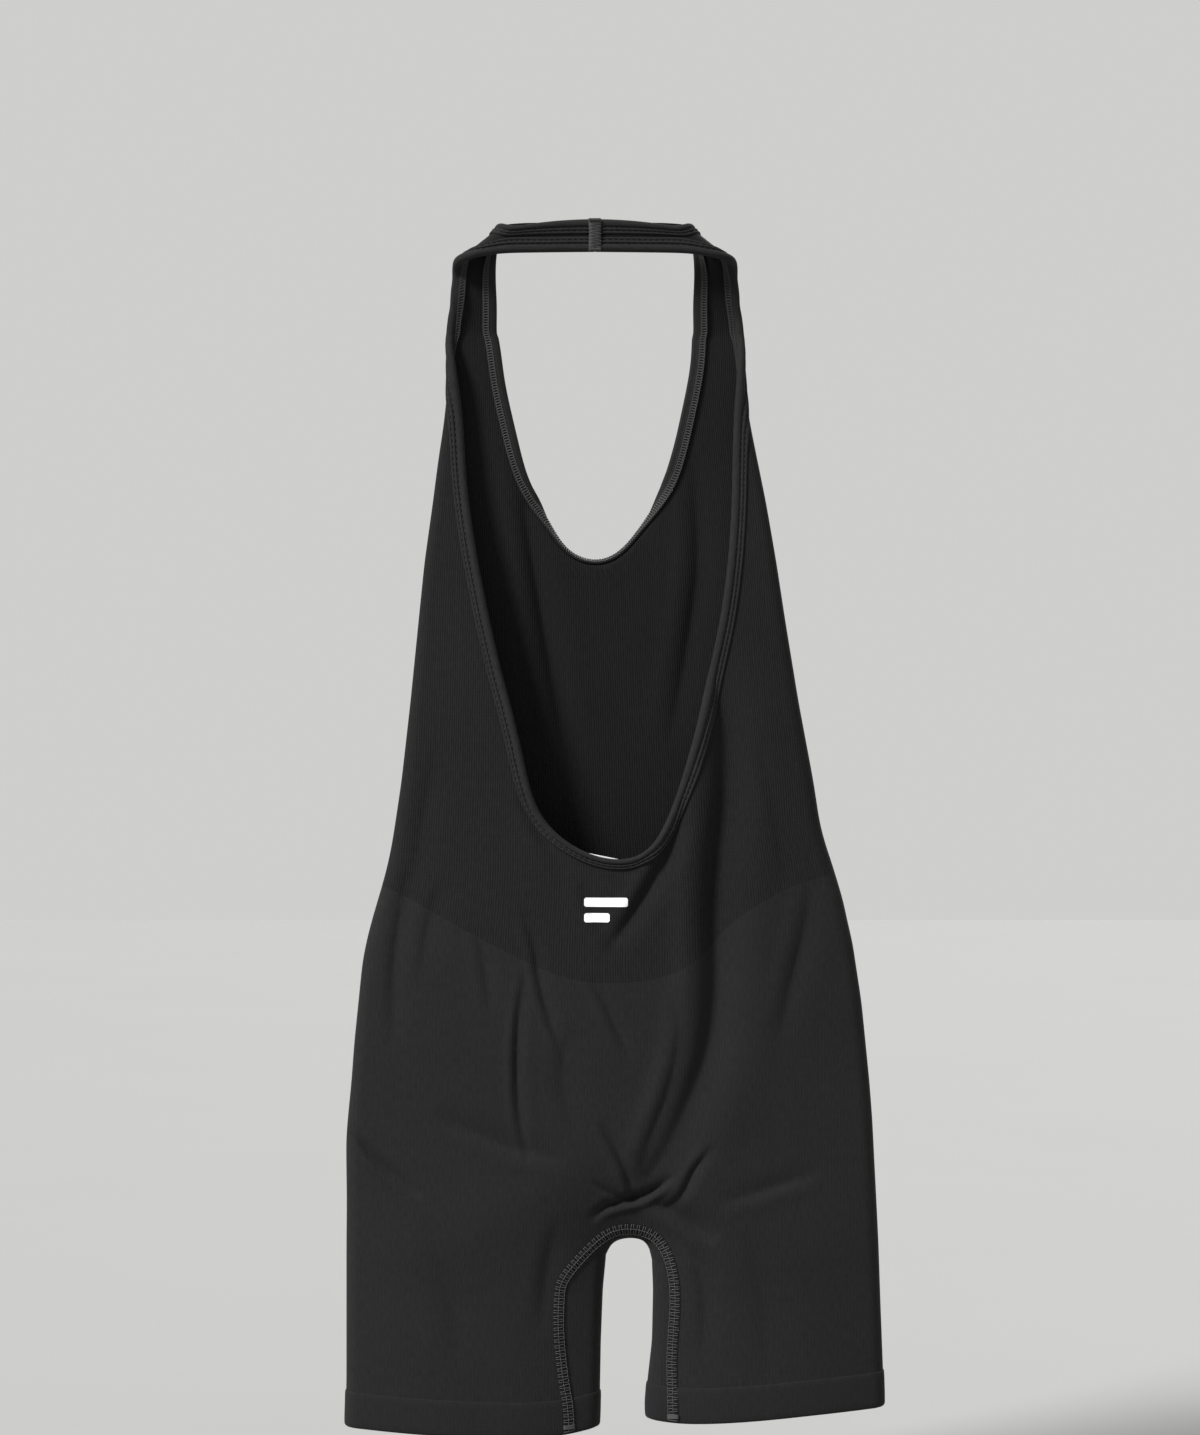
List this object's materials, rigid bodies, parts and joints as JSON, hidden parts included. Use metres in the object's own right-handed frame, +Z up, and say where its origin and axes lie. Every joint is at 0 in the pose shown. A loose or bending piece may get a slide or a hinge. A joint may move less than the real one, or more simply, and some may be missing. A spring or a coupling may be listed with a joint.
{
  "type": "gymnastics unitard",
  "caption": "Seamless-knit halter-neck gymnastics unitard with a deep scooped back, bound edges and short legs, laid out as it hangs flat.",
  "frame": {"origin": "inner top of the neck loop, where what carries the garment takes its weight", "axes": "+Z up along the garment, +X towards the wearer's right as seen from behind, +Y towards the garment's front"},
  "size_m": [0.2966, 0.0431, 0.6716],
  "materials": {
    "rib_knit": "fine vertical rib, matt, black",
    "jersey_knit": "smooth plain jersey, matt, black",
    "binding_knit": "folded self-fabric binding, rounded edge, matt, black",
    "elastic_tape": "woven elastic tape, black",
    "sewing_thread": "textured polyester thread, dark grey",
    "lining_knit": "brushed lining knit, black",
    "label_ribbon": "white satin ribbon",
    "reflective_print": "white reflective heat transfer, faint sheen"
  },
  "bodies": {
    "garment": {"front_bodice": "rib_knit", "back_bodice": "rib_knit", "left_halter_strap": "rib_knit", "right_halter_strap": "rib_knit", "neck_seam_allowance": "rib_knit", "front_shorts": "jersey_knit", "back_shorts": "jersey_knit", "left_leg_hem": "jersey_knit", "right_leg_hem": "jersey_knit", "neckline_binding": "binding_knit", "back_opening_binding": "binding_knit", "neckline_elastic": "elastic_tape", "back_opening_elastic": "elastic_tape", "neckline_needle_stitching": "sewing_thread", "neckline_looper_stitching": "sewing_thread", "back_opening_needle_stitching": "sewing_thread", "back_opening_looper_stitching": "sewing_thread", "neck_seam_overlock": "sewing_thread", "neck_seam_upper_bartack": "sewing_thread", "neck_seam_lower_bartack": "sewing_thread", "inseam_flatlock": "sewing_thread", "left_hem_bartack": "sewing_thread", "right_hem_bartack": "sewing_thread", "gusset_lining": "lining_knit", "badge_upper_bar": "reflective_print", "badge_lower_bar": "reflective_print", "care_label_tab": "label_ribbon"},
    "care_label": {"care_label": "label_ribbon"}
  },
  "joints": [
    {"name": "care_label_flip", "type": "hinge", "parent": "garment", "child": "care_label", "pos_m": [0.0064, -0.01013, -0.3555], "axis": [0.9801, 0, -0.1987], "range_deg": [0, 165]}
  ]
}
